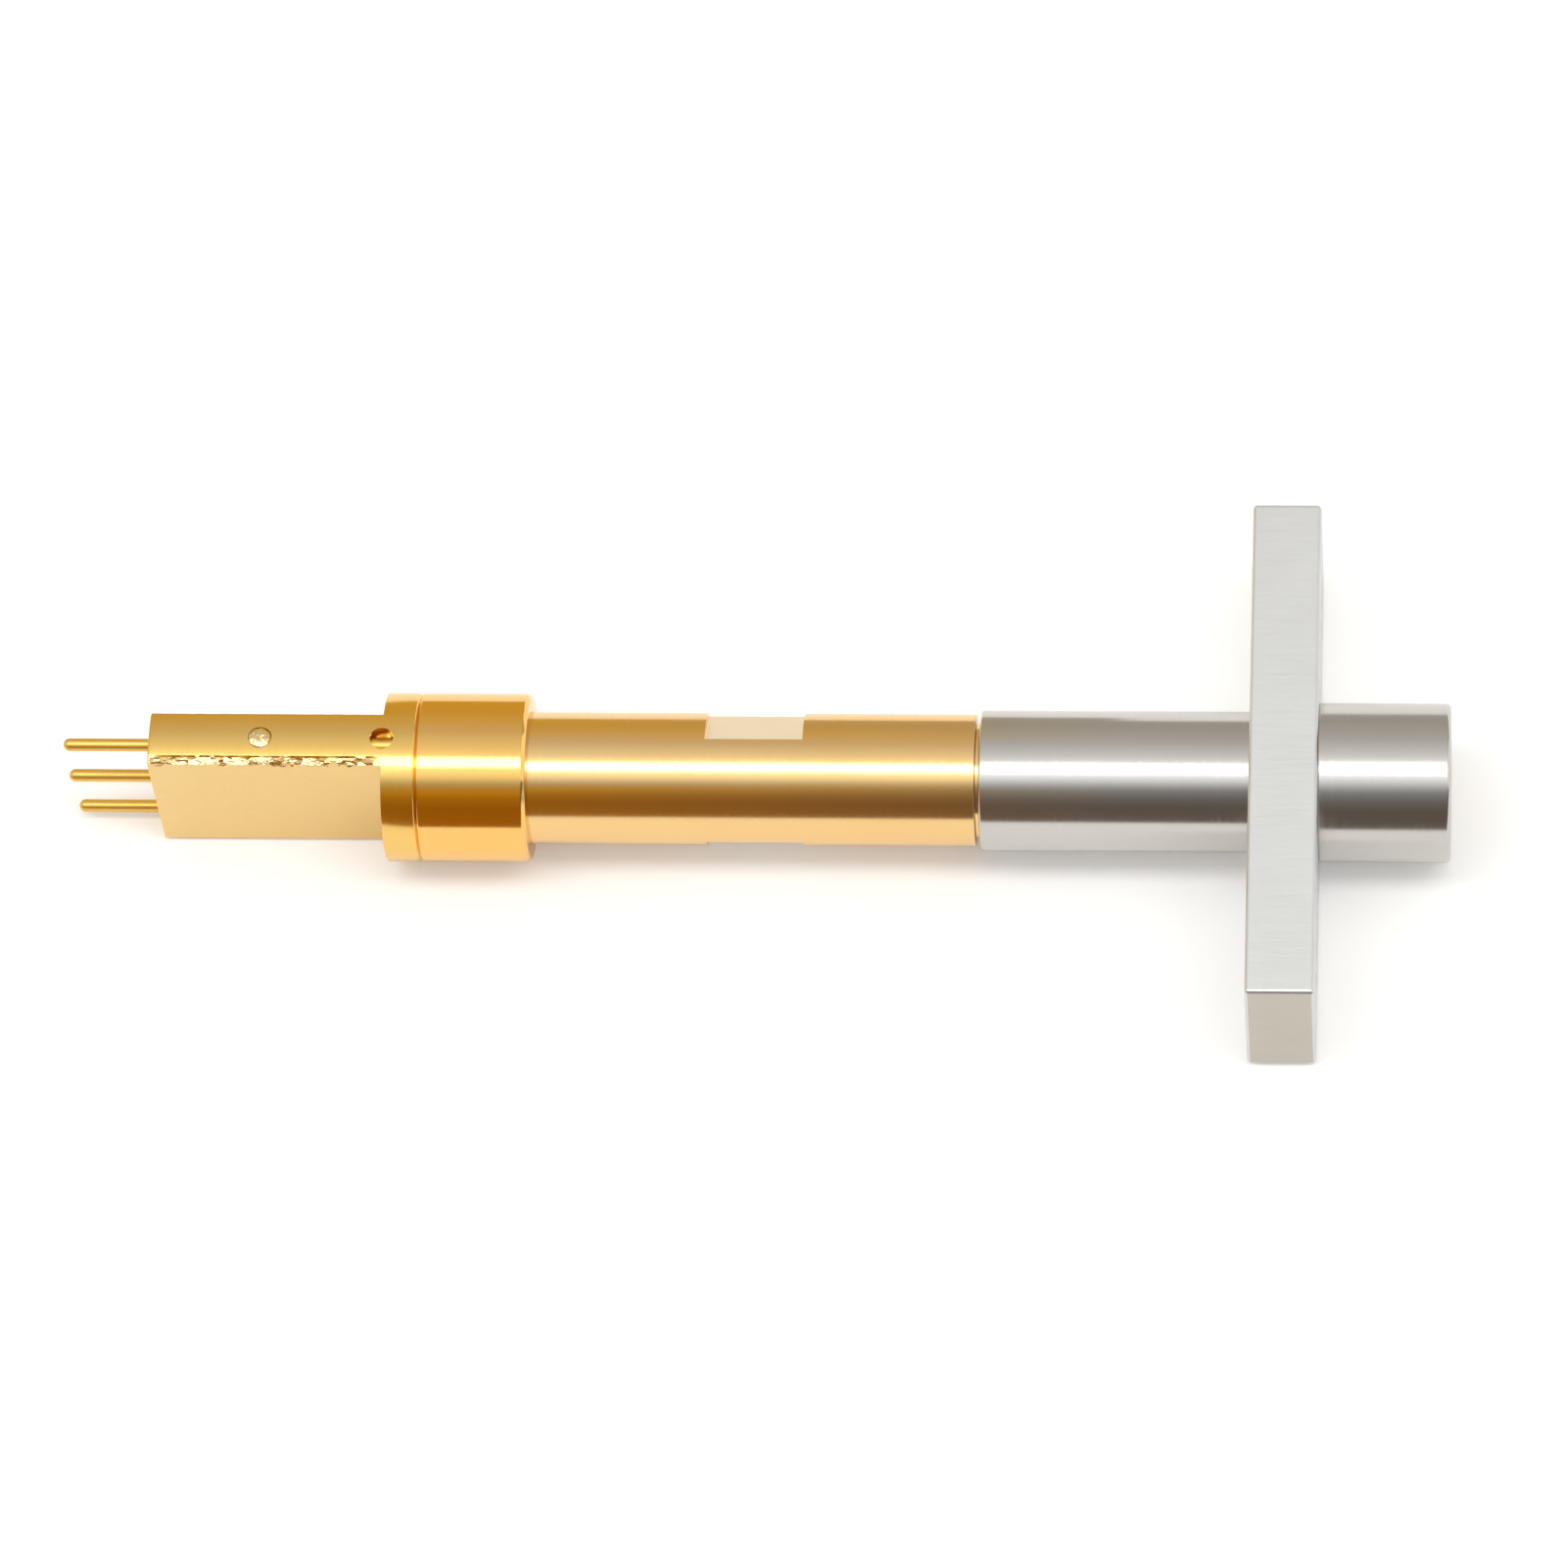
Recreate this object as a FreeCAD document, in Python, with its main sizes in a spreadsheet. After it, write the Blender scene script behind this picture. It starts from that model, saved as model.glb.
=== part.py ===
import FreeCAD, Part
import Sketcher
import math
import os
import re

# An RF test probe: three spring contacts in a flat head, a straight coaxial line and a
# flange with a coaxial socket behind it. X runs from the tips (-X) to the socket (+X), on the
# line's axis. The origin is on that axis at the flange's front face, and +Z runs up along the
# row of contacts. All sizes are in millimetres, and all diameters end in _dia.

doc = FreeCAD.newDocument("rf_test_probe")
sheet = doc.addObject("Spreadsheet::Sheet", "Sizes")

SIZES = [
    ("slab_length", 8.98, "head: flat part, along X"),
    ("slab_thickness", 2.22, "head: flat part, along Y"),
    ("head_wall", 0.37, "head: metal over the outer contacts"),
    ("head_edge", 0.10, "head: broken edges"),
    ("collar_length", 1.34, "head: round collar behind the flat part"),
    ("signal_bore_dia", 1.56, "head: bore round the middle contact"),
    ("step_bore_dia", 2.30, "head: wider bore at the rear"),
    ("step_bore_depth", 1.50, "head: depth of the wider bore"),
    ("solder_hole_dia", 0.90, "head: cross holes over the outer contacts"),
    ("solder_hole_offset", 4.30, "head: filled cross hole, behind the front"),
    ("solder_proud", 0.06, "solder: how far it stands out of its hole"),
    ("solder_dome", 0.15, "solder: height of the round top"),
    ("pin_pitch", 2.54, "contacts: from one to the next"),
    ("contact_dia", 0.68, "contact barrel: outside"),
    ("contact_inset", 0.32, "contact barrel: its rear end, in front of the head's rear end"),
    ("contact_wall", 0.055, "contact barrel: wall"),
    ("contact_end", 0.30, "contact barrel: closed rear end"),
    ("crimp_length", 0.30, "contact barrel: rolled-in front lip"),
    ("plunger_shoulder", 0.035, "plunger: step from its shaft to the barrel's bore"),
    ("plunger_reach", 3.36, "plunger: tip in front of the head"),
    ("signal_extra", 0.09, "plunger: how much further the middle tip reaches"),
    ("piston_length", 6.90, "plunger: thicker part that slides in the barrel"),
    ("slide_gap", 0.01, "plunger: running gap at its radius"),
    ("stop_gap", 0.02, "plunger: gap to its stop at rest"),
    ("spring_gap", 0.035, "spring: gap to the barrel's bore"),
    ("wire_dia", 0.08, "spring: wire"),
    ("spring_turns", 8, "spring: turns"),
    ("bush_length", 1.00, "signal bush: length"),
    ("ring_length", 4.20, "coupling ring: length"),
    ("ring_wall", 0.26, "coupling ring: wall round the head's spigot"),
    ("ring_edge", 0.16, "coupling ring: rear chamfer"),
    ("collar_edge", 0.07, "head: chamfer that marks the seam to the ring"),
    ("barrel_length", 17.15, "front barrel: length in view"),
    ("barrel_shoulder", 0.34, "front barrel: step from its outside to its neck"),
    ("barrel_entry", 1.20, "front barrel: length inside the ring"),
    ("barrel_neck_wall", 0.45, "front barrel: wall of the neck inside the sleeve"),
    ("barrel_neck_entry", 2.40, "front barrel: neck's length inside the sleeve"),
    ("barrel_gap", 0.17, "front barrel: gap to the sleeve"),
    ("flat_start", 6.80, "wrench flats: behind the ring"),
    ("flat_length", 3.75, "wrench flats: length"),
    ("flat_depth", 0.47, "wrench flats: depth of each"),
    ("flats_turn", 45.0, "wrench flats: degrees from Y towards Z"),
    ("line_bore_dia", 3.50, "coaxial line: bore"),
    ("line_ratio", 2.303, "coaxial line: bore over centre conductor, 50 ohm in air"),
    ("nose_dia", 1.00, "centre conductor: thin front end"),
    ("nose_entry", 1.40, "centre conductor: thin end's length inside the head"),
    ("nose_shoulder", 0.50, "centre conductor: thin end's length behind the head"),
    ("nose_bore_depth", 1.20, "centre conductor: front bore"),
    ("bead_length", 1.50, "beads: length"),
    ("bead_front_inset", 2.20, "front bead: behind the front barrel's front end"),
    ("bead_rear_inset", 2.62, "rear bead: in front of the front barrel's rear end"),
    ("sleeve_length", 10.30, "steel sleeve: length in view"),
    ("sleeve_wall", 0.49, "steel sleeve: wall round the front barrel's neck"),
    ("sleeve_edge", 0.10, "steel sleeve: front chamfer"),
    ("sleeve_shoulder", 0.21, "steel sleeve: step to its neck through the flange"),
    ("sleeve_neck_entry", 1.20, "steel sleeve: neck's length inside the tail"),
    ("flange_length", 21.00, "flange: along Y"),
    ("flange_wall", 0.34, "flange: metal beside the sleeve's seat, along Z"),
    ("flange_thickness", 2.64, "flange: along X"),
    ("flange_edge", 0.08, "flange: broken edges"),
    ("flange_seat", 0.40, "flange: depth of the seat for the sleeve's shoulder"),
    ("screw_hole_dia", 2.20, "flange: screw holes"),
    ("screw_inset", 3.00, "flange: from its end to a screw hole"),
    ("tail_length", 5.04, "rear shell: length"),
    ("tail_wall", 0.55, "rear shell: wall round the sleeve's neck"),
    ("tail_edge", 0.12, "rear shell: chamfers"),
    ("insulator_length", 1.70, "rear insulator: length"),
    ("socket_dia", 3.70, "rear shell: socket"),
    ("socket_edge", 0.25, "rear shell: lead-in of the socket"),
    ("jack_dia", 1.27, "rear contact: outside"),
    ("jack_bore_dia", 0.94, "rear contact: bore for the mating pin"),
    ("jack_bore_depth", 2.00, "rear contact: depth of that bore"),
    ("jack_recess", 0.74, "rear contact: its rear end, inside the socket"),
    ("jack_slot_width", 0.15, "rear contact: slots"),
    ("jack_slot_length", 1.40, "rear contact: length of the slots"),
    ("jack_tail_dia", 0.88, "rear contact: tail inside the centre conductor"),
    ("jack_tail_length", 1.60, "rear contact: length of that tail"),
    ("fit_gap", 0.01, "fixed fits: gap at the radius"),
    ("end_gap", 0.10, "blind holes: room past what enters them"),
]

for row, (alias, size, note) in enumerate(SIZES, start=1):
    sheet.set("A%d" % row, alias)
    sheet.set("B%d" % row, str(size))
    sheet.set("C%d" % row, note)
    sheet.setAlias("B%d" % row, alias)
doc.recompute()

# Sections of wire in each turn of a spring.
SECTIONS_PER_TURN = 8

# Diameters outwards from the contacts. The head is as wide as its row of contacts needs.
CONTACT_BORE_DIA = "(contact_dia - 2 * contact_wall)"
PLUNGER_DIA = "(%s - 2 * plunger_shoulder)" % CONTACT_BORE_DIA
SPRING_DIA = "(%s - 2 * spring_gap)" % CONTACT_BORE_DIA
HEAD_DIA = "(2 * pin_pitch + contact_dia + 2 * head_wall)"
SPIGOT_DIA = "(%s - 2 * ring_wall - 2 * fit_gap)" % HEAD_DIA

# Diameters outwards from the coaxial line. Each tube is as wide as what it holds needs.
CORE_DIA = "(line_bore_dia / line_ratio)"
BARREL_NECK_DIA = "(line_bore_dia + 2 * barrel_neck_wall)"
BARREL_DIA = "(%s + 2 * barrel_shoulder)" % BARREL_NECK_DIA
FLATS_ACROSS = "(%s - 2 * flat_depth)" % BARREL_DIA
SLEEVE_DIA = "(%s + 2 * fit_gap + 2 * sleeve_wall)" % BARREL_NECK_DIA
SLEEVE_NECK_DIA = "(%s - 2 * sleeve_shoulder)" % SLEEVE_DIA
FLANGE_WIDTH = "(%s + 2 * fit_gap + 2 * flange_wall)" % SLEEVE_DIA
TAIL_DIA = "(%s + 2 * fit_gap + 2 * tail_wall)" % SLEEVE_NECK_DIA

# Stations along X, from the flange's front face. Each is worked out from the lengths.
RING_REAR = "(-sleeve_length - barrel_gap - barrel_length)"
RING_FRONT = "(%s - ring_length)" % RING_REAR
COLLAR_FRONT = "(%s - collar_length)" % RING_FRONT
HEAD_FRONT = "(%s - slab_length)" % COLLAR_FRONT
BARREL_FRONT = "(%s - barrel_entry)" % RING_REAR
NOSE_FRONT = "(%s - nose_entry)" % BARREL_FRONT
NECK_REAR = "(flange_thickness + sleeve_neck_entry)"
BEAD_FRONT = "(%s + bead_front_inset)" % BARREL_FRONT
BEAD_REAR = "(barrel_neck_entry - sleeve_length - bead_rear_inset - bead_length)"

# Lengths that follow from others.
SPIGOT_LENGTH = "(ring_length - barrel_entry)"
HEAD_LENGTH = "(slab_length + collar_length + %s)" % SPIGOT_LENGTH
CONTACT_LENGTH = "(%s - contact_inset)" % HEAD_LENGTH
SPRING_FRONT = "(crimp_length + stop_gap + piston_length + slide_gap)"
SPRING_LENGTH = "(%s - contact_end - slide_gap - %s)" % (CONTACT_LENGTH, SPRING_FRONT)


# Puts the sheet's name before each size in an expression.
def bound(text):
    return re.sub(r"[a-z][a-z_]*", lambda word: "Sizes." + word.group(), str(text))


def number(text):
    return float(sheet.evalExpression(bound(text)))


def new_body(name):
    body = doc.addObject("PartDesign::Body", name)
    body.Label = name
    return body


# Puts a piece at its station on the axis, or beside it by a height along Z.
def place(piece, station, height="0"):
    piece.setExpression("Placement.Base.x", bound(station))
    piece.setExpression("Placement.Base.z", bound(height))


def new_sketch(body, name, plane, offset=None):
    sketch = body.newObject("Sketcher::SketchObject", body.Name + "_" + name)
    origin_planes = [item for item in body.Origin.OriginFeatures if item.Role == plane]
    sketch.AttachmentSupport = (origin_planes[0], [""])
    sketch.MapMode = "FlatFace"
    if offset:
        sketch.setExpression("AttachmentOffset.Base.z", bound(offset))
    return sketch


# Holds one point of a sketch at its two coordinates, on an axis where one is nought.
def hold_point(sketch, edge, end, across, up):
    for kind, axis, text in (("DistanceX", -2, across), ("DistanceY", -1, up)):
        if text == "0":
            sketch.addConstraint(Sketcher.Constraint("PointOnObject", edge, end, axis))
        else:
            rule = Sketcher.Constraint(kind, -1, 1, edge, end, number(text))
            index = sketch.addConstraint(rule)
            sketch.setExpression("Constraints[%d]" % index, bound(text))


# Draws a closed outline. After a point marked "round" comes an arc centred on the X axis.
def draw_outline(sketch, points):
    spots = [FreeCAD.Vector(number(point[0]), number(point[1]), 0) for point in points]
    edges = []
    for index, point in enumerate(points):
        start = spots[index]
        end = spots[(index + 1) % len(spots)]
        if "round" in point:
            edges.append(sketch.addGeometry(arc_on_axis(start, end)))
        else:
            edges.append(sketch.addGeometry(Part.LineSegment(start, end)))
    for index, edge in enumerate(edges):
        sketch.addConstraint(Sketcher.Constraint("Coincident", edges[index - 1], 2, edge, 1))
        hold_point(sketch, edge, 1, points[index][0], points[index][1])
        if "round" in points[index]:
            sketch.addConstraint(Sketcher.Constraint("PointOnObject", edge, 3, -1))


# The arc from start to end, anticlockwise, whose centre is on the X axis.
def arc_on_axis(start, end):
    middle = (end.x ** 2 + end.y ** 2 - start.x ** 2 - start.y ** 2) / (2 * (end.x - start.x))
    centre = FreeCAD.Vector(middle, 0, 0)
    circle = Part.Circle(centre, FreeCAD.Vector(0, 0, 1), (start - centre).Length)
    return Part.ArcOfCircle(circle, circle.parameter(start), circle.parameter(end))


def draw_circle(sketch, across, up, diameter):
    centre = FreeCAD.Vector(number(across), number(up), 0)
    radius = number(diameter) / 2
    edge = sketch.addGeometry(Part.Circle(centre, FreeCAD.Vector(0, 0, 1), radius))
    hold_point(sketch, edge, 3, across, up)
    index = sketch.addConstraint(Sketcher.Constraint("Diameter", edge, 2 * radius))
    sketch.setExpression("Constraints[%d]" % index, bound(diameter))


# A turned piece. Its half profile holds points of distance along the axis and radius.
def turned(name, station, profile, height="0"):
    body = new_body(name)
    sketch = new_sketch(body, "profile", "XY_Plane")
    draw_outline(sketch, profile)
    turn = body.newObject("PartDesign::Revolution", name + "_turned")
    turn.Profile = sketch
    turn.ReferenceAxis = (sketch, ["H_Axis"])
    turn.Angle = 360
    place(body, station, height)
    doc.recompute()
    return body


# Cuts a sketch's outline into its body: up its normal, down against it, or to both sides.
def cut(body, sketch, depth, direction):
    before = body.Shape.Volume
    pocket = body.newObject("PartDesign::Pocket", sketch.Name + "_cut")
    pocket.Profile = sketch
    pocket.Midplane = direction == "both"
    pocket.Reversed = direction == "up"
    pocket.setExpression("Length", bound(depth))
    doc.recompute()
    if body.Shape.Volume >= before:
        raise RuntimeError("%s cut nothing" % sketch.Name)


def head_block():
    inner_step = "(%s - step_bore_depth)" % HEAD_LENGTH
    collar_rear = "(slab_length + collar_length)"
    body = turned("head_block", HEAD_FRONT, [
        (HEAD_LENGTH, SPIGOT_DIA + " / 2"),
        (collar_rear, SPIGOT_DIA + " / 2"),
        (collar_rear, HEAD_DIA + " / 2 - collar_edge"),
        (collar_rear + " - collar_edge", HEAD_DIA + " / 2"),
        ("head_edge", HEAD_DIA + " / 2"),
        ("0", HEAD_DIA + " / 2 - head_edge"),
        ("0", "signal_bore_dia / 2"),
        (inner_step, "signal_bore_dia / 2"),
        (inner_step, "step_bore_dia / 2"),
        (HEAD_LENGTH, "step_bore_dia / 2"),
    ])
    mill_slab(body)
    drill_contact_bores(body)
    drill_solder_holes(body, "upper", "pin_pitch", "up")
    drill_solder_holes(body, "lower", "-pin_pitch", "down")
    return body


# Both sides of the head's front are milled away, which leaves the flat slab.
def mill_slab(body):
    sketch = new_sketch(body, "sides", "XY_Plane")
    for side in ("", "-"):
        near = side + "slab_thickness / 2"
        far = side + HEAD_DIA
        draw_outline(sketch, [
            ("-head_edge", near),
            ("slab_length", near),
            ("slab_length", far),
            ("-head_edge", far),
        ])
    cut(body, sketch, "2 * " + HEAD_DIA, "both")


def drill_contact_bores(body):
    sketch = new_sketch(body, "bores", "YZ_Plane")
    for height in ("pin_pitch", "-pin_pitch"):
        draw_circle(sketch, "0", height, "contact_dia + 2 * fit_gap")
    cut(body, sketch, HEAD_LENGTH, "up")


# Cross holes reach each outer contact: one is filled with solder, one stays open.
def drill_solder_holes(body, name, height, direction):
    sketch = new_sketch(body, name + "_holes", "XY_Plane", height)
    for offset in ("solder_hole_offset", "slab_length"):
        draw_circle(sketch, offset, "0", "solder_hole_dia")
    cut(body, sketch, HEAD_DIA + " / 2", direction)


# Solder over an outer contact. The upper one stands out, and the lower one is filed flush.
def solder_plug(name, side, proud):
    bottom = "(contact_dia / 2 + fit_gap)"
    top = "(%s / 2 - pin_pitch + %s)" % (HEAD_DIA, proud)
    plug_dia = "(solder_hole_dia - 2 * fit_gap)"
    body = turned(name, HEAD_FRONT + " + solder_hole_offset", [
        (bottom, "0"),
        (top, "0"),
        (top, plug_dia + " / 4"),
        (top + " - solder_dome", plug_dia + " / 2"),
        (bottom, plug_dia + " / 2"),
    ], "%d * pin_pitch" % side)
    outwards = FreeCAD.Rotation(FreeCAD.Vector(0, 1, 0), -90 * side)
    body.Placement = FreeCAD.Placement(body.Placement.Base, outwards)
    return body


# The bush that holds the middle contact in the head's bore, away from the metal.
def signal_bush():
    return turned("signal_bush", HEAD_FRONT, [
        ("bush_length", "signal_bore_dia / 2 - fit_gap"),
        ("0", "signal_bore_dia / 2 - fit_gap"),
        ("0", "contact_dia / 2 + fit_gap"),
        ("bush_length", "contact_dia / 2 + fit_gap"),
    ])


def contact_barrel(name, height):
    inside = CONTACT_BORE_DIA + " / 2"
    lip = "(%s / 2 + slide_gap)" % PLUNGER_DIA
    floor = "(%s - contact_end)" % CONTACT_LENGTH
    return turned(name, HEAD_FRONT, [
        (CONTACT_LENGTH, "0"),
        (CONTACT_LENGTH, "contact_dia / 2"),
        ("0", "contact_dia / 2"),
        ("0", lip),
        ("crimp_length", lip),
        ("crimp_length", inside),
        (floor, inside),
        (floor, "0"),
    ], height)


def plunger(name, height, extra):
    reach = "(plunger_reach + %s)" % extra
    shoulder = "(%s + crimp_length + stop_gap)" % reach
    rear = "(%s + piston_length)" % shoulder
    piston = "(%s / 2 - slide_gap)" % CONTACT_BORE_DIA
    shaft = PLUNGER_DIA + " / 2"
    return turned(name, "%s - %s" % (HEAD_FRONT, reach), [
        (rear, "0"),
        (rear, piston),
        (shoulder, piston),
        (shoulder, shaft),
        (shaft, shaft, "round"),
        ("0", "0"),
    ], height)


# A coil of four-sided wire from the plunger's rear end to the barrel's closed end. Each turn
# is a few sections joined by straight faces, which keeps the coil light.
def contact_spring(name, height):
    turns = round(number("spring_turns"))
    steps = turns * SECTIONS_PER_TURN
    half_wire = number("wire_dia / 2")
    reach = number(SPRING_DIA + " / 2") - half_wire
    rise = (number(SPRING_LENGTH) - 2 * half_wire) / steps
    sections = []
    for step in range(steps + 1):
        angle = 2 * math.pi * step / SECTIONS_PER_TURN
        outwards = FreeCAD.Vector(0, math.cos(angle), math.sin(angle))
        along = FreeCAD.Vector(half_wire, 0, 0)
        middle = FreeCAD.Vector(half_wire + rise * step, 0, 0) + outwards * reach
        corners = [middle + along, middle + outwards * half_wire]
        corners += [middle - along, middle - outwards * half_wire]
        sections.append(Part.makePolygon(corners + corners[:1]))
    spring = doc.addObject("Part::Feature", name)
    spring.Label = name
    spring.Shape = Part.makeLoft(sections, True, True)
    place(spring, "%s + %s" % (HEAD_FRONT, SPRING_FRONT), height)
    return spring


def coupling_ring():
    step = SPIGOT_LENGTH
    outside = HEAD_DIA + " / 2"
    wide = "(%s - ring_wall)" % outside
    narrow = "(%s / 2 + fit_gap)" % BARREL_DIA
    return turned("coupling_ring", RING_FRONT, [
        ("ring_length", narrow),
        ("ring_length", outside + " - ring_edge"),
        ("ring_length - ring_edge", outside),
        ("0", outside),
        ("0", wide),
        (step, wide),
        (step, narrow),
    ])


def front_barrel():
    shoulder = "(barrel_entry + barrel_length)"
    rear = "(%s + barrel_gap + barrel_neck_entry)" % shoulder
    body = turned("front_barrel", BARREL_FRONT, [
        (rear, "line_bore_dia / 2"),
        (rear, BARREL_NECK_DIA + " / 2"),
        (shoulder, BARREL_NECK_DIA + " / 2"),
        (shoulder, BARREL_DIA + " / 2"),
        ("0", BARREL_DIA + " / 2"),
        ("0", "line_bore_dia / 2"),
    ])
    mill_wrench_flats(body)
    return body


# Two flats for a wrench, opposite each other and turned about the axis.
def mill_wrench_flats(body):
    sketch = new_sketch(body, "flats", "XY_Plane")
    start = "(barrel_entry + flat_start)"
    for side in ("", "-"):
        draw_outline(sketch, [
            (start, side + FLATS_ACROSS + " / 2"),
            (start + " + flat_length", side + FLATS_ACROSS + " / 2"),
            (start + " + flat_length", side + BARREL_DIA),
            (start, side + BARREL_DIA),
        ])
    turn = FreeCAD.Rotation(FreeCAD.Vector(1, 0, 0), number("flats_turn"))
    sketch.AttachmentOffset = FreeCAD.Placement(FreeCAD.Vector(), turn)
    sketch.setExpression("AttachmentOffset.Rotation.Angle", bound("flats_turn"))
    cut(body, sketch, "2 * " + BARREL_DIA, "both")


def centre_conductor():
    shoulder = "(nose_entry + nose_shoulder)"
    rear = "(%s - %s)" % (NECK_REAR, NOSE_FRONT)
    nose_bore = "(contact_dia / 2 + fit_gap)"
    rear_bore = "(jack_tail_dia / 2 + fit_gap)"
    rear_floor = "(%s - jack_tail_length - end_gap)" % rear
    return turned("centre_conductor", NOSE_FRONT, [
        ("nose_bore_depth", "0"),
        (rear_floor, "0"),
        (rear_floor, rear_bore),
        (rear, rear_bore),
        (rear, CORE_DIA + " / 2"),
        (shoulder, CORE_DIA + " / 2"),
        (shoulder, "nose_dia / 2"),
        ("0", "nose_dia / 2"),
        ("0", nose_bore),
        ("nose_bore_depth", nose_bore),
    ])


def bead(name, station):
    return turned(name, station, [
        ("bead_length", "line_bore_dia / 2 - fit_gap"),
        ("0", "line_bore_dia / 2 - fit_gap"),
        ("0", CORE_DIA + " / 2 + fit_gap"),
        ("bead_length", CORE_DIA + " / 2 + fit_gap"),
    ])


def steel_sleeve():
    seat = "(barrel_neck_entry + end_gap)"
    shoulder = "(sleeve_length + flange_seat)"
    neck_rear = "(sleeve_length + %s)" % NECK_REAR
    outside = SLEEVE_DIA + " / 2"
    return turned("steel_sleeve", "-sleeve_length", [
        (neck_rear, "line_bore_dia / 2"),
        (neck_rear, SLEEVE_NECK_DIA + " / 2"),
        (shoulder, SLEEVE_NECK_DIA + " / 2"),
        (shoulder, outside),
        ("sleeve_edge", outside),
        ("0", outside + " - sleeve_edge"),
        ("0", BARREL_NECK_DIA + " / 2 + fit_gap"),
        (seat, BARREL_NECK_DIA + " / 2 + fit_gap"),
        (seat, "line_bore_dia / 2"),
    ])


def flange_plate():
    body = new_body("flange_plate")
    sketch = new_sketch(body, "outline", "YZ_Plane")
    draw_outline(sketch, [
        ("-flange_length / 2", "-%s / 2" % FLANGE_WIDTH),
        ("flange_length / 2", "-%s / 2" % FLANGE_WIDTH),
        ("flange_length / 2", FLANGE_WIDTH + " / 2"),
        ("-flange_length / 2", FLANGE_WIDTH + " / 2"),
    ])
    pad = body.newObject("PartDesign::Pad", "flange_plate_pad")
    pad.Profile = sketch
    pad.setExpression("Length", bound("flange_thickness"))
    doc.recompute()
    chamfer = body.newObject("PartDesign::Chamfer", "flange_plate_edges")
    chamfer.Base = (pad, ["Edge%d" % (index + 1) for index in range(len(pad.Shape.Edges))])
    chamfer.setExpression("Size", bound("flange_edge"))
    body.Tip = chamfer
    doc.recompute()
    holes = new_sketch(body, "holes", "YZ_Plane")
    draw_circle(holes, "0", "0", SLEEVE_NECK_DIA + " + 2 * fit_gap")
    for side in ("", "-"):
        draw_circle(holes, side + "(flange_length / 2 - screw_inset)", "0", "screw_hole_dia")
    cut(body, holes, "flange_thickness", "up")
    seat = new_sketch(body, "seat", "YZ_Plane")
    draw_circle(seat, "0", "0", SLEEVE_DIA + " + 2 * fit_gap")
    cut(body, seat, "flange_seat", "up")
    return body


def rear_shell():
    step = "(sleeve_neck_entry + insulator_length)"
    socket = "socket_dia / 2"
    outside = TAIL_DIA + " / 2"
    return turned("rear_shell", "flange_thickness", [
        ("tail_length", socket + " + socket_edge"),
        ("tail_length", outside + " - tail_edge"),
        ("tail_length - tail_edge", outside),
        ("tail_edge", outside),
        ("0", outside + " - tail_edge"),
        ("0", SLEEVE_NECK_DIA + " / 2 + fit_gap"),
        (step, SLEEVE_NECK_DIA + " / 2 + fit_gap"),
        (step, socket),
        ("tail_length - socket_edge", socket),
    ])


def rear_insulator():
    return turned("rear_insulator", NECK_REAR, [
        ("insulator_length", SLEEVE_NECK_DIA + " / 2"),
        ("0", SLEEVE_NECK_DIA + " / 2"),
        ("0", "jack_dia / 2 + fit_gap"),
        ("insulator_length", "jack_dia / 2 + fit_gap"),
    ])


# A socket contact: its rear end is bored and slotted into four springy fingers.
def rear_contact():
    rear = "(jack_tail_length + tail_length - sleeve_neck_entry - jack_recess)"
    floor = "(%s - jack_bore_depth)" % rear
    body = turned("rear_contact", "%s - jack_tail_length" % NECK_REAR, [
        ("0", "0"),
        (floor, "0"),
        (floor, "jack_bore_dia / 2"),
        (rear, "jack_bore_dia / 2"),
        (rear, "jack_dia / 2"),
        ("jack_tail_length", "jack_dia / 2"),
        ("jack_tail_length", "jack_tail_dia / 2"),
        ("0", "jack_tail_dia / 2"),
    ])
    for plane in ("XY_Plane", "XZ_Plane"):
        slot = new_sketch(body, "slot_" + plane[:2].lower(), plane)
        draw_outline(slot, [
            (rear + " - jack_slot_length", "-jack_slot_width / 2"),
            (rear + " + end_gap", "-jack_slot_width / 2"),
            (rear + " + end_gap", "jack_slot_width / 2"),
            (rear + " - jack_slot_length", "jack_slot_width / 2"),
        ])
        cut(body, slot, "2 * jack_dia", "both")
    return body


# Each contact has its height in the row and what its tip reaches past the others.
CONTACTS = (
    ("upper_ground", "pin_pitch", "0"),
    ("signal", "0", "signal_extra"),
    ("lower_ground", "-pin_pitch", "0"),
)


def spring_contacts():
    pieces = []
    for name, height, extra in CONTACTS:
        pieces.append(contact_barrel(name + "_barrel", height))
        pieces.append(plunger(name + "_plunger", height, extra))
        pieces.append(contact_spring(name + "_spring", height))
    return pieces


def check(pieces):
    doc.recompute()
    for item in doc.Objects:
        if "Invalid" in item.State or "Error" in item.State:
            raise RuntimeError("%s: %s" % (item.Name, item.State))
    for piece in pieces:
        if piece.Shape.isNull() or not piece.Shape.isValid():
            raise RuntimeError("%s has no valid shape" % piece.Label)


def export(pieces):
    os.makedirs("parts", exist_ok=True)
    for piece in pieces:
        piece.Shape.exportStep("parts/%s.step" % piece.Label)


pieces = [head_block(), coupling_ring(), front_barrel(), steel_sleeve(), flange_plate()]
pieces += [rear_shell(), rear_insulator(), rear_contact(), centre_conductor()]
pieces += [bead("bead_front", BEAD_FRONT), bead("bead_rear", BEAD_REAR), signal_bush()]
pieces += [solder_plug("solder_plug_upper", 1, "solder_proud")]
pieces += [solder_plug("solder_plug_lower", -1, "0")]
pieces += spring_contacts()
check(pieces)
export(pieces)
for piece in pieces:
    print(piece.Label, round(piece.Shape.Volume, 3))
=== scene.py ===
import math
import random

import bmesh
import bpy
from mathutils import Matrix, Vector


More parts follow.
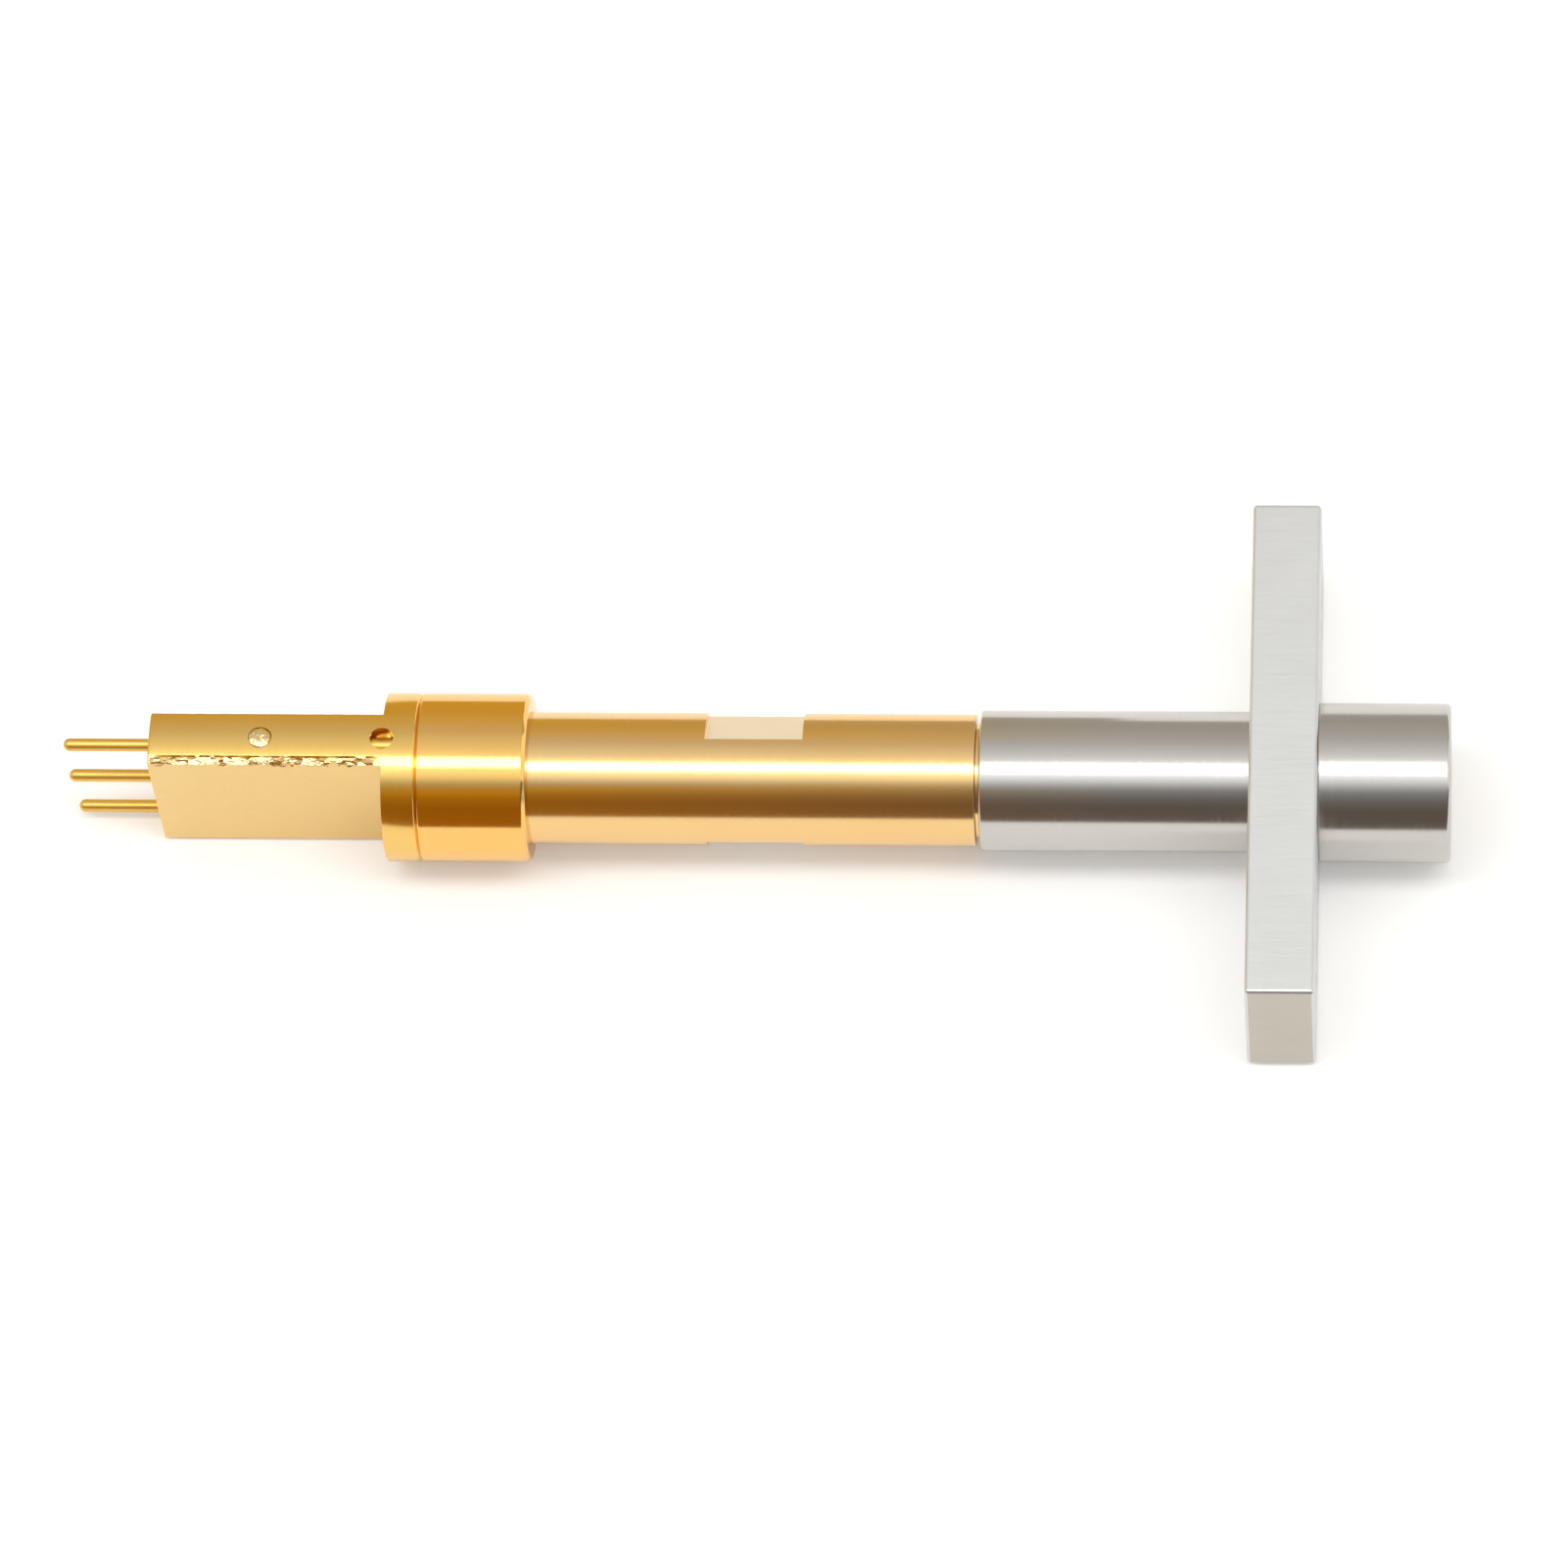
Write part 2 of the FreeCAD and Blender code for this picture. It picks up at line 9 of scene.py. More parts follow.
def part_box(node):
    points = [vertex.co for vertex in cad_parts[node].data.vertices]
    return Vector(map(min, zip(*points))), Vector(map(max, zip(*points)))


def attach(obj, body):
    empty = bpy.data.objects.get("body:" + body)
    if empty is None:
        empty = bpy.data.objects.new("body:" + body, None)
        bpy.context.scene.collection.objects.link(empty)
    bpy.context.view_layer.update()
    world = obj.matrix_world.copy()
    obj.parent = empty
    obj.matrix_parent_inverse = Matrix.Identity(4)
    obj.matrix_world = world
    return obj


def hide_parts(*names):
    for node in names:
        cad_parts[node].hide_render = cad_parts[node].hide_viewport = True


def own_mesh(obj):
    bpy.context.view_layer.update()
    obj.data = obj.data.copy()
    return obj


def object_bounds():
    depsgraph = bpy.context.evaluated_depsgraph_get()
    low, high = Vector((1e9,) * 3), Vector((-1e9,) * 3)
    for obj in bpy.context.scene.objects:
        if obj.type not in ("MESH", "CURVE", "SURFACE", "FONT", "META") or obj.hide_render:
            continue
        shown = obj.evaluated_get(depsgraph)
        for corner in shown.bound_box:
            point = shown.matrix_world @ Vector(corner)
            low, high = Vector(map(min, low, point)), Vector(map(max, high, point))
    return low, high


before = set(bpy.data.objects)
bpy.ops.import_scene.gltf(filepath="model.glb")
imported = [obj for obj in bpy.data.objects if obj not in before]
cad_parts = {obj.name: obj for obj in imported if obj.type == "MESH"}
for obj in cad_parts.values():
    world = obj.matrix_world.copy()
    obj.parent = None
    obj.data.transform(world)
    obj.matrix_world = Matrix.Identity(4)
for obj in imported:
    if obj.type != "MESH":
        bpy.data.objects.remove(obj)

# RF test probe on a white table. X runs along it from the tips to the rear socket, the contacts
# stand in a row along Z, and the flange lies along Y. Sizes are in millimetres, and mm turns
# them into Blender's metres.
mm = 0.001
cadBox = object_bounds()
scene = bpy.context.scene
scene.view_settings.view_transform = "Standard"
print("frame loaded, box in mm", [round(v / mm, 2) for corner in cadBox for v in corner])


# an sRGB hex colour as the linear one that the shaders take
def toLinear(hexColour):
    colour = []
    for place in (1, 3, 5):
        value = int(hexColour[place:place + 2], 16) / 255
        colour.append(value / 12.92 if value <= 0.04045 else ((value + 0.055) / 1.055) ** 2.4)
    return (*colour, 1.0)


# adds a node, sets its inputs or its own settings, and links other nodes' outputs to it
def addNode(tree, kind, settings=None, links=None):
    node = tree.nodes.new(kind)
    for name, value in (settings or {}).items():
        if isinstance(name, int) or name in node.inputs:
            node.inputs[name].default_value = value
        else:
            setattr(node, name, value)
    for name, output in (links or {}).items():
        tree.links.new(output, node.inputs[name])
    return node


def newMaterial(name):
    material = bpy.data.materials.new(name)
    material.use_nodes = True
    material.node_tree.nodes.clear()
    return material, material.node_tree


# soft clouds of a second tone over the base colour, as on any plate or bar
def cloudyColour(tree, place, look, detail=4.0, roughness=0.55):
    cloud = addNode(tree, "ShaderNodeTexNoise",
                    {"Scale": 1 / (look["cloudSize"] * mm), "Detail": detail, "Roughness": roughness},
                    {"Vector": place})
    colour = addNode(tree, "ShaderNodeMix",
                     {"data_type": "RGBA", 6: toLinear(look["colour"]), 7: toLinear(look["cloudColour"])},
                     {0: cloud.outputs["Fac"]})
    return colour.outputs[2]


marksLow = 0.3   # nearly all of a noise lies between these two
marksHigh = 0.7


# roughness and a fine relief that follow one pattern of tool marks
def markedSurface(tree, marks, look):
    gloss = addNode(tree, "ShaderNodeMapRange",
                    {"From Min": marksLow, "From Max": marksHigh, "To Min": look["roughness"][0],
                     "To Max": look["roughness"][1]},
                    {"Value": marks})
    relief = addNode(tree, "ShaderNodeBump",
                     {"Strength": look["reliefStrength"], "Distance": look["reliefDepth"] * mm},
                     {"Height": marks})
    return gloss.outputs["Result"], relief.outputs["Normal"]


ringDrift = 60   # how often in a metre a turned ring wavers, so that no ring is quite even


# Turned metal: a tool or a polishing cloth has gone round the X axis, which leaves rings too
# fine to see one by one. They blur what the surface mirrors along X, and a few coarser ones
# stay just visible. ringSpacing is drawn wider than the real 0.02 mm, so that it shows.
def turnedMetal(name, look):
    material, tree = newMaterial(name)
    place = addNode(tree, "ShaderNodeTexCoord").outputs["Object"]
    rings = addNode(tree, "ShaderNodeMapping",
                    {"Scale": (1 / (look["ringSpacing"] * mm), ringDrift, ringDrift)},
                    {"Vector": place})
    ringNoise = addNode(tree, "ShaderNodeTexNoise", {"Scale": 1.0, "Detail": 3.0, "Roughness": 0.6},
                        {"Vector": rings.outputs["Vector"]})
    roughness, normal = markedSurface(tree, ringNoise.outputs["Fac"], look)
    tangent = addNode(tree, "ShaderNodeTangent", {"direction_type": "RADIAL", "axis": "X"})
    metal = addNode(tree, "ShaderNodeBsdfPrincipled",
                    {"Metallic": 1.0, "Anisotropic": look["anisotropy"]},
                    {"Base Color": cloudyColour(tree, place, look), "Roughness": roughness,
                     "Normal": normal, "Tangent": tangent.outputs["Tangent"]})
    addNode(tree, "ShaderNodeOutputMaterial", {}, {"Surface": metal.outputs["BSDF"]})
    return material


# Milled or blasted metal: fine scratches along X from the cutter, over the pits that a bead
# blast or the plating bath leaves, so the eye sees a satin sheen and no mirror image. Scratches
# and pits are really 0.02 to 0.05 mm apart, and are drawn coarser so that they show.
def milledMetal(name, look):
    material, tree = newMaterial(name)
    place = addNode(tree, "ShaderNodeTexCoord").outputs["Object"]
    across = 1 / (look["scratchSpacing"] * mm)
    along = across / look["scratchStretch"]
    strokes = addNode(tree, "ShaderNodeMapping", {"Scale": (along, across, across)}, {"Vector": place})
    scratches = addNode(tree, "ShaderNodeTexNoise", {"Scale": 1.0, "Detail": 3.0, "Roughness": 0.65},
                        {"Vector": strokes.outputs["Vector"]})
    pits = addNode(tree, "ShaderNodeTexNoise",
                   {"Scale": 1 / (look["pitSize"] * mm), "Detail": 2.0, "Roughness": 0.5},
                   {"Vector": place})
    grain = addNode(tree, "ShaderNodeMix", {"data_type": "FLOAT", 0: look["pitShare"]},
                    {2: scratches.outputs["Fac"], 3: pits.outputs["Fac"]})
    roughness, normal = markedSurface(tree, grain.outputs[0], look)
    metal = addNode(tree, "ShaderNodeBsdfPrincipled", {"Metallic": 1.0},
                    {"Base Color": cloudyColour(tree, place, look), "Roughness": roughness,
                     "Normal": normal})
    addNode(tree, "ShaderNodeOutputMaterial", {}, {"Surface": metal.outputs["BSDF"]})
    return material


# Fluoropolymer, cut on a lathe: white and waxy, with light passing a little way into it.
# markSpacing is drawn wider than the lathe's real 0.03 mm, so that it shows.
def cutFluoropolymer(name, look):
    material, tree = newMaterial(name)
    place = addNode(tree, "ShaderNodeTexCoord").outputs["Object"]
    toolMarks = addNode(tree, "ShaderNodeTexNoise",
                        {"Scale": 1 / (look["markSpacing"] * mm), "Detail": 2.0},
                        {"Vector": place})
    relief = addNode(tree, "ShaderNodeBump",
                     {"Strength": look["reliefStrength"], "Distance": look["reliefDepth"] * mm},
                     {"Height": toolMarks.outputs["Fac"]})
    colour = cloudyColour(tree, place, look, detail=3.0, roughness=0.5)
    plastic = addNode(tree, "ShaderNodeBsdfPrincipled",
                      {"Roughness": look["roughness"], "IOR": 1.36, "Subsurface Weight": 0.3,
                       "Subsurface Radius": (1.0, 0.9, 0.8), "Subsurface Scale": look["lightDepth"] * mm},
                      {"Base Color": colour, "Normal": relief.outputs["Normal"]})
    addNode(tree, "ShaderNodeOutputMaterial", {}, {"Surface": plastic.outputs["BSDF"]})
    return material


# gold plate over a turned barrel: satin, with soft broad bands of light
goldPlate = turnedMetal("satinGoldPlate", {
    "colour": "#F3CE92", "cloudColour": "#EFC786", "cloudSize": 6.0,
    "roughness": (0.13, 0.19), "anisotropy": 0.2,
    "ringSpacing": 0.12, "reliefDepth": 0.0003, "reliefStrength": 0.3,
})
# thicker plate over a polished ring: a deeper yellow, and bands with clearer edges
goldRing = turnedMetal("deepGoldPlate", {
    "colour": "#F7CA7A", "cloudColour": "#F4C26C", "cloudSize": 5.0,
    "roughness": (0.09, 0.13), "anisotropy": 0.2,
    "ringSpacing": 0.12, "reliefDepth": 0.0002, "reliefStrength": 0.25,
})
# hard plate on the contacts, dulled by tumbling: a matt gold that mirrors nothing
goldContact = turnedMetal("contactGoldPlate", {
    "colour": "#F0C870", "cloudColour": "#E8BC60", "cloudSize": 1.5,
    "roughness": (0.38, 0.46), "anisotropy": 0.0,
    "ringSpacing": 0.08, "reliefDepth": 0.0003, "reliefStrength": 0.3,
})
# plate over the head's polished round face: a smooth run from dark to light gold
goldHead = turnedMetal("polishedGoldPlate", {
    "colour": "#F4CC7A", "cloudColour": "#F0C56E", "cloudSize": 3.0,
    "roughness": (0.14, 0.19), "anisotropy": 0.1,
    "ringSpacing": 0.14, "reliefDepth": 0.0002, "reliefStrength": 0.25,
})
# plate over the slab's milled sides: fine strokes make the gold pale and satin
goldFlat = milledMetal("milledGoldPlate", {
    "colour": "#EFD091", "cloudColour": "#EACA86", "cloudSize": 3.0,
    "roughness": (0.26, 0.34), "scratchSpacing": 0.10, "scratchStretch": 12,
    "pitSize": 0.06, "pitShare": 0.35, "reliefDepth": 0.001, "reliefStrength": 0.4,
})
# thin plate over the wrench flats' coarser cut: the palest gold of all
goldWrenchFlat = milledMetal("cutGoldPlate", {
    "colour": "#ECDABA", "cloudColour": "#E6D3B0", "cloudSize": 3.0,
    "roughness": (0.30, 0.38), "scratchSpacing": 0.10, "scratchStretch": 12,
    "pitSize": 0.06, "pitShare": 0.35, "reliefDepth": 0.001, "reliefStrength": 0.4,
})
# plate over metal torn by the cutter: the torn facets are real, while its near-white tone and the bright
# and dark specks side by side are painted glint, so it glitters
goldBurrPaintedGlint = milledMetal("burredGoldEdgePaintedGlint", {
    "colour": "#FFEFC8", "cloudColour": "#E8BE70", "cloudSize": 0.25,
    "roughness": (0.12, 0.24), "scratchSpacing": 0.14, "scratchStretch": 1.2,
    "pitSize": 0.10, "pitShare": 0.5, "reliefDepth": 0.05, "reliefStrength": 1.0,
})
# stainless steel, turned and polished: crisp grey bands, a little warm
steelPolished = turnedMetal("polishedStainless", {
    "colour": "#CFCDCA", "cloudColour": "#C8C5C1", "cloudSize": 5.0,
    "roughness": (0.13, 0.19), "anisotropy": 0.2,
    "ringSpacing": 0.12, "reliefDepth": 0.0004, "reliefStrength": 0.5,
})
# stainless steel on the flange's ends, dull with a fine grain; its darker, warmer colour is painted shade
steelEndsPaintedShade = milledMetal("stainlessEndsPaintedShade", {
    "colour": "#CCC7BD", "cloudColour": "#C3BDB1", "cloudSize": 2.5,
    "roughness": (0.40, 0.50), "scratchSpacing": 0.14, "scratchStretch": 14,
    "pitSize": 0.07, "pitShare": 0.3, "reliefDepth": 0.006, "reliefStrength": 0.45,
})
# stainless steel blasted with glass beads: an even pale grey that mirrors nothing
steelBlasted = milledMetal("blastedStainless", {
    "colour": "#E2E4E5", "cloudColour": "#D7D9DA", "cloudSize": 2.5,
    "roughness": (0.42, 0.52), "scratchSpacing": 0.14, "scratchStretch": 14,
    "pitSize": 0.07, "pitShare": 0.35, "reliefDepth": 0.010, "reliefStrength": 0.5,
})
# solder that froze in the hole, tinted by the gold it took up: lumpy, with a dull shine
solderTin = milledMetal("frozenSolder", {
    "colour": "#F0DFB4", "cloudColour": "#E2C580", "cloudSize": 0.35,
    "roughness": (0.24, 0.36), "scratchSpacing": 0.3, "scratchStretch": 1.0,
    "pitSize": 0.12, "pitShare": 0.5, "reliefDepth": 0.01, "reliefStrength": 0.5,
})
# drawn spring wire: grey, with the die's faint shine
springSteel = turnedMetal("drawnSpringSteel", {
    "colour": "#B9B4AC", "cloudColour": "#A9A39A", "cloudSize": 0.8,
    "roughness": (0.22, 0.30), "anisotropy": 0.0,
    "ringSpacing": 0.05, "reliefDepth": 0.0004, "reliefStrength": 0.3,
})
# bush, beads and insulator: milk white, with faint rings from the lathe
whitePolymer = cutFluoropolymer("cutFluoropolymer", {
    "colour": "#F1EFEA", "cloudColour": "#E6E3DC", "cloudSize": 0.9, "roughness": 0.42,
    "markSpacing": 0.08, "reliefDepth": 0.003, "reliefStrength": 0.25, "lightDepth": 0.3,
})
print("materials made")


# Replaces each corner of a closed profile with a small curve, so that edges catch the light.
# Points on the axis and corners that hardly bend stay as they are.
def softened(profile, radius, steps=3):
    nearlyStraight = math.radians(170)
    mostOfSide = 0.45  # so that two corners never meet
    soft = []
    for index, point in enumerate(profile):
        corner = Vector(point)
        before = Vector(profile[index - 1]) - corner
        after = Vector(profile[(index + 1) % len(profile)]) - corner
        if point[1] == 0 or before.angle(after) > nearlyStraight:
            soft.append(tuple(corner))
            continue
        room = min(radius, before.length * mostOfSide, after.length * mostOfSide)
        start = corner + before.normalized() * room
        end = corner + after.normalized() * room
        for step in range(steps + 1):
            share = step / steps
            spot = start * (1 - share) ** 2 + corner * (2 * share * (1 - share)) + end * share ** 2
            soft.append(tuple(spot))
    return soft


# Angles of the points round the axis, from +Z towards +Y, with the given ones among them.
# Even ones that come too close to a given one are left out.
def roundAngles(segments, exact=()):
    step = 2 * math.pi / segments
    leastGap = step * 0.4
    exact = [angle % (2 * math.pi) for angle in exact]
    angles = [index * step for index in range(segments)]
    angles = [angle for angle in angles if all(abs(angle - other) > leastGap for other in exact)]
    return sorted(angles + exact)


# the radius at each angle of a round bar with two flats, which face the way given by facing
def flattened(angles, radius, offset, facing):
    least = 0.01  # keeps the division off nought where a flat is seen edge-on
    return [min(radius, offset / max(abs(math.cos(angle - facing)), least)) for angle in angles]


def addPiece(name, mesh):
    piece = bpy.data.objects.new(name, mesh)
    scene.collection.objects.link(piece)
    return piece


# an object from points in metres and faces
def pieceFromPoints(name, points, faces):
    mesh = bpy.data.meshes.new(name)
    mesh.from_pydata(points, [], faces)
    return addPiece(name, mesh)


# A turned mesh from rings. Each ring is a station along X and its radius, or a list with one
# radius for each angle. Rings of no radius are single points. The last ring joins the first.
def pieceFromRings(name, rings, angles, centre=(0, 0)):
    points, faces, starts, singles = [], [], [], []
    for station, radii in rings:
        if not isinstance(radii, list):
            radii = [radii] * len(angles)
        starts.append(len(points))
        singles.append(max(radii) == 0)
        if singles[-1]:
            points.append(Vector((station, *centre)) * mm)
            continue
        for angle, radius in zip(angles, radii):
            across = centre[0] + radius * math.sin(angle)
            height = centre[1] + radius * math.cos(angle)
            points.append(Vector((station, across, height)) * mm)
    for index, start in enumerate(starts):
        other = (index + 1) % len(starts)
        follow = starts[other]
        if singles[index] and singles[other]:
            continue
        for spot in range(len(angles)):
            beside = (spot + 1) % len(angles)
            if singles[index]:
                faces.append((start, follow + beside, follow + spot))
            elif singles[other]:
                faces.append((start + spot, start + beside, follow))
            else:
                faces.append((start + spot, start + beside, follow + beside, follow + spot))
    return pieceFromPoints(name, points, faces)


# joins points that lie in one place and turns all faces outwards
def tidy(piece):
    samePlace = 0.0002 * mm
    mesh = bmesh.new()
    mesh.from_mesh(piece.data)
    bmesh.ops.remove_doubles(mesh, verts=mesh.verts, dist=samePlace)
    bmesh.ops.recalc_face_normals(mesh, faces=mesh.faces)
    mesh.to_mesh(piece.data)
    mesh.free()


fineSegments = 160   # round the large pieces
holeSegments = 64


def turnedPiece(name, profile, segments=96, centre=(0, 0)):
    piece = pieceFromRings(name, profile, roundAngles(segments), centre)
    tidy(piece)
    return piece


# a box between two corners, given in metres, with its edges rounded if edge is set
def boxPiece(name, low, high, edge=0.0, steps=5):
    build = bmesh.new()
    bmesh.ops.create_cube(build, size=1.0)
    for vertex in build.verts:
        for axis in range(3):
            vertex.co[axis] = (low[axis] + high[axis]) / 2 + vertex.co[axis] * (high[axis] - low[axis])
    if edge:
        bmesh.ops.bevel(build, geom=list(build.edges), offset=edge * mm, segments=steps, profile=0.5,
                        affect="EDGES")
    mesh = bpy.data.meshes.new(name)
    build.to_mesh(mesh)
    build.free()
    return addPiece(name, mesh)


# cuts one mesh out of another and throws the cutter away
def carve(piece, cutter):
    bpy.context.view_layer.update()
    step = piece.modifiers.new("carve", "BOOLEAN")
    step.operation = "DIFFERENCE"
    step.solver = "EXACT"
    step.object = cutter
    graph = bpy.context.evaluated_depsgraph_get()
    carved = bpy.data.meshes.new_from_object(piece.evaluated_get(graph))
    piece.modifiers.remove(step)
    piece.data = carved
    bpy.data.objects.remove(cutter)


# A rod to cut a round hole with: along X, or turned to stand along Z. A flare widens it at both
# ends, for a chamfered hole.
def holeCutter(start, end, radius, centre=(0, 0), upright=False, flare=0.0):
    reach = end - start
    profile = [(0, 0), (0, radius + flare), (reach, radius + flare), (reach, 0)]
    if flare:
        profile[2:2] = [(flare, radius), (reach - flare, radius)]
    cutter = turnedPiece("cutter", profile, holeSegments)
    if upright:
        cutter.matrix_world = (Matrix.Translation(Vector((centre[0], centre[1], start)) * mm)
                               @ Matrix.Rotation(math.radians(-90), 4, "Y"))
    else:
        cutter.matrix_world = Matrix.Translation(Vector((start, centre[0], centre[1])) * mm)
    return cutter


# Smooth shading that keeps broad faces flat and corners of more than crisp degrees sharp, and
# the piece's place in the frame. A piece of several materials comes with them and passes None.
def finish(piece, material, body, nodes, crisp=50):
    if material:
        piece.data.materials.clear()
        piece.data.materials.append(material)
    piece.data.shade_smooth()
    piece.data.set_sharp_from_angle(angle=math.radians(crisp))
    weighted = piece.modifiers.new("flatFaces", "WEIGHTED_NORMAL")
    weighted.keep_sharp = True
    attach(piece, body)
    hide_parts(*nodes)


# where a node begins and ends along X, and its radius
def span(node):
    low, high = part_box(node)
    return low.x / mm, high.x / mm, high.y / mm


overrun = 1.0       # how far a cutter sticks out of what it cuts
tolerance = 0.001   # for places that are meant to be the same
mostly = 0.9        # share of a normal along an axis, for a face that looks that way

# Head: a slab milled from a turned bar, with a round collar behind it and a spigot that the
# ring hides. Contacts go through it along X, and cross holes from its top and its underside.
# The cutter left a rough burr on the slab's four long edges. It starts burrWidth degrees short
# of an edge on the round face and ends on the flat one, burrEnd degrees from Z. burrDepth is how
# far the metal is torn back at most: the whole of it at the edge, besideShare of it next to the
# edge, and farShare of that on all edges but the upper near one.
head = {
    "radius": 3.25, "halfThickness": 1.11, "slabLength": 8.98, "frontRound": 0.09,
    "frontLeans": (27, 45, 63, 80), "collarLength": 1.34, "seamChamfer": 0.10, "collarRound": 0.03,
    "spigotRadius": 2.98, "signalBore": 0.78, "stepBore": 1.15, "stepDepth": 1.50,
    "contactBore": 0.35, "pitch": 2.54, "crossHole": 0.45, "filledHole": 4.30, "segments": 120,
    "burrWidth": 6.6, "burrEnd": 20.9, "burrSpacing": 0.19, "burrDepth": 0.17, "besideShare": 0.6,
    "farShare": 0.06, "burrLean": 0.35, "burrDrift": 1.2, "burrLowest": 2.9, "brightShare": 0.70,
    "burrSeed": 7,
}
headFinishes = (goldHead, goldBurrPaintedGlint, goldFlat)
tornFinish, milledFinish = 1, 2   # places among these three


# the head's rings, from its front to its rear and back along the bore, and those with the burr
def headRings(angles, length):
    radius, half, edge = head["radius"], head["halfThickness"], head["frontRound"]
    towardsY = math.pi / 2
    slab = flattened(angles, radius, half, towardsY)
    slabRear = head["slabLength"]
    collarRear = slabRear + head["collarLength"]
    boreStep = length - head["stepDepth"]
    rounding = head["collarRound"]
    middle = rounding * 0.3   # how deep the middle of a quarter round lies

    # the front edge is rounded in four steps, each leaning further over
    rings = [(edge, slab)]
    stride = edge / sum(math.sin(math.radians(lean)) for lean in head["frontLeans"])
    station, reach = edge, radius
    for lean in reversed(head["frontLeans"]):
        station -= stride * math.sin(math.radians(lean))
        reach -= stride * math.cos(math.radians(lean))
        rings.insert(0, (max(station, 0), flattened(angles, reach, half * reach / radius, towardsY)))

    firstBurr = len(rings)
    steps = int((slabRear - edge) / head["burrSpacing"])
    for step in range(1, steps):
        rings.append((edge + (slabRear - edge) * step / steps, slab))
    burrRings = range(firstBurr, len(rings))

    rings += [
        (slabRear, slab),
        (slabRear, [max(reach, radius - rounding) for reach in slab]),
        (slabRear + middle, [max(reach, radius - middle) for reach in slab]),
        (slabRear + rounding, radius),
        (collarRear - head["seamChamfer"], radius),
        (collarRear, radius - head["seamChamfer"]),
        (collarRear, head["spigotRadius"]),
        (length, head["spigotRadius"]),
        (length, head["stepBore"]),
        (boreStep, head["stepBore"]),
        (boreStep, head["signalBore"]),
        (0, head["signalBore"]),
    ]
    return rings, burrRings


# Tears the points along the slab's edges back a little. beside holds the burr's angles: its
# start on the round face, its middle there, the edge, and its end on the flat face.
def tearEdges(piece, angles, burrRings, beside, chance):
    start, _, edge, end = [math.sin(angle) for angle in beside]
    for ring in burrRings:
        for spot, angle in enumerate(angles):
            fromTop = abs(math.sin(angle))
            if fromTop < start + tolerance or fromTop > end + tolerance:
                continue
            point = piece.data.vertices[ring * len(angles) + spot]
            depth = head["burrDepth"]
            if not point.co.y < 0 < point.co.z:
                depth *= head["farShare"]
            if abs(fromTop - edge) > tolerance:
                depth *= head["besideShare"]
            inwards = Vector((0, -point.co.y, -point.co.z * head["burrLean"])).normalized()
            point.co += inwards * depth * mm * chance.random()
            point.co.x += depth * mm * chance.uniform(-head["burrDrift"], head["burrDrift"])


# The slab's sides are milled, and torn metal, whose pale colour is painted glint, shows along its
# upper near edge: everywhere up to the burr's middle, and in brightShare of the places beyond it.
def paintHead(piece, front, beside, chance):
    margin = 0.01
    burrStart = head["radius"] * math.sin(beside[0]) - margin
    burrMiddle = head["radius"] * math.sin(beside[1])
    slabFront = front + head["frontRound"] * 0.6   # most of the rounded front edge stays polished
    slabRear = front + head["slabLength"]
    for material in headFinishes:
        piece.data.materials.append(material)
    for face in piece.data.polygons:
        place = face.center / mm
        if not slabFront < place.x < slabRear:
            continue
        if abs(face.normal.y) > mostly and abs(place.y) > head["halfThickness"] * mostly:
            face.material_index = milledFinish
        elif place.y < -burrStart and place.z > head["burrLowest"]:
            if place.y < -burrMiddle or chance.random() < head["brightShare"]:
                face.material_index = tornFinish


# The burr's own faces stay flat, and it starts at a crisp line, so that it doesn't bend the
# sheen of the round top.
def sharpenBurr(piece, beside):
    burrStart = head["radius"] * math.sin(beside[0])
    near = 0.005
    for face in piece.data.polygons:
        face.use_smooth = face.material_index != tornFinish
    for line in piece.data.edges:
        ends = [abs(piece.data.vertices[index].co.y / mm) for index in line.vertices]
        if all(abs(end - burrStart) < near for end in ends):
            line.use_edge_sharp = True


def makeHead():
    front, rear, _ = span("head_block")
    edge = math.asin(head["halfThickness"] / head["radius"])
    width = math.radians(head["burrWidth"])
    beside = (edge - width, edge - width / 2, edge, math.radians(head["burrEnd"]))
    exact = [sign * angle + turn for angle in beside for sign in (1, -1) for turn in (0, math.pi)]
    angles = roundAngles(head["segments"], exact)
    rings, burrRings = headRings(angles, rear - front)
    rings = [(front + station, radii) for station, radii in rings]
    piece = pieceFromRings("headBlock", rings, angles)
    chance = random.Random(head["burrSeed"])
    tearEdges(piece, angles, burrRings, beside, chance)
    tidy(piece)
    paintHead(piece, front, beside, chance)
    for side in (1, -1):
        height = side * head["pitch"]
        above = side * (head["radius"] + overrun)
        carve(piece, holeCutter(front - overrun, rear + overrun, head["contactBore"], (0, height)))
        for offset in (head["filledHole"], head["slabLength"]):
            carve(piece, holeCutter(min(height, above), max(height, above), head["crossHole"],
                                    (front + offset, 0), upright=True))
    finish(piece, None, "housing", ["head_block"], crisp=25)
    sharpenBurr(piece, beside)


makeHead()
print("head made")


# Plain ring that screws the head to the barrel. Its rear edge has a wide chamfer.
ring = {
    "spigotRadius": 2.99, "barrelRadius": 2.55, "stepFromRear": 1.20, "frontChamfer": 0.06,
    "rearChamfer": 0.16, "edge": 0.03,
}


def makeRing():
    front, rear, radius = span("coupling_ring")
    step = rear - ring["stepFromRear"]
    profile = [
        (front, ring["spigotRadius"]), (front, radius - ring["frontChamfer"]),
        (front + ring["frontChamfer"], radius), (rear - ring["rearChamfer"], radius),
        (rear, radius - ring["rearChamfer"]), (rear, ring["barrelRadius"]),
        (step, ring["barrelRadius"]), (step, ring["spigotRadius"]),
    ]
    piece = turnedPiece("couplingRing", softened(profile, ring["edge"]), fineSegments)
    finish(piece, goldRing, "housing", ["coupling_ring"])


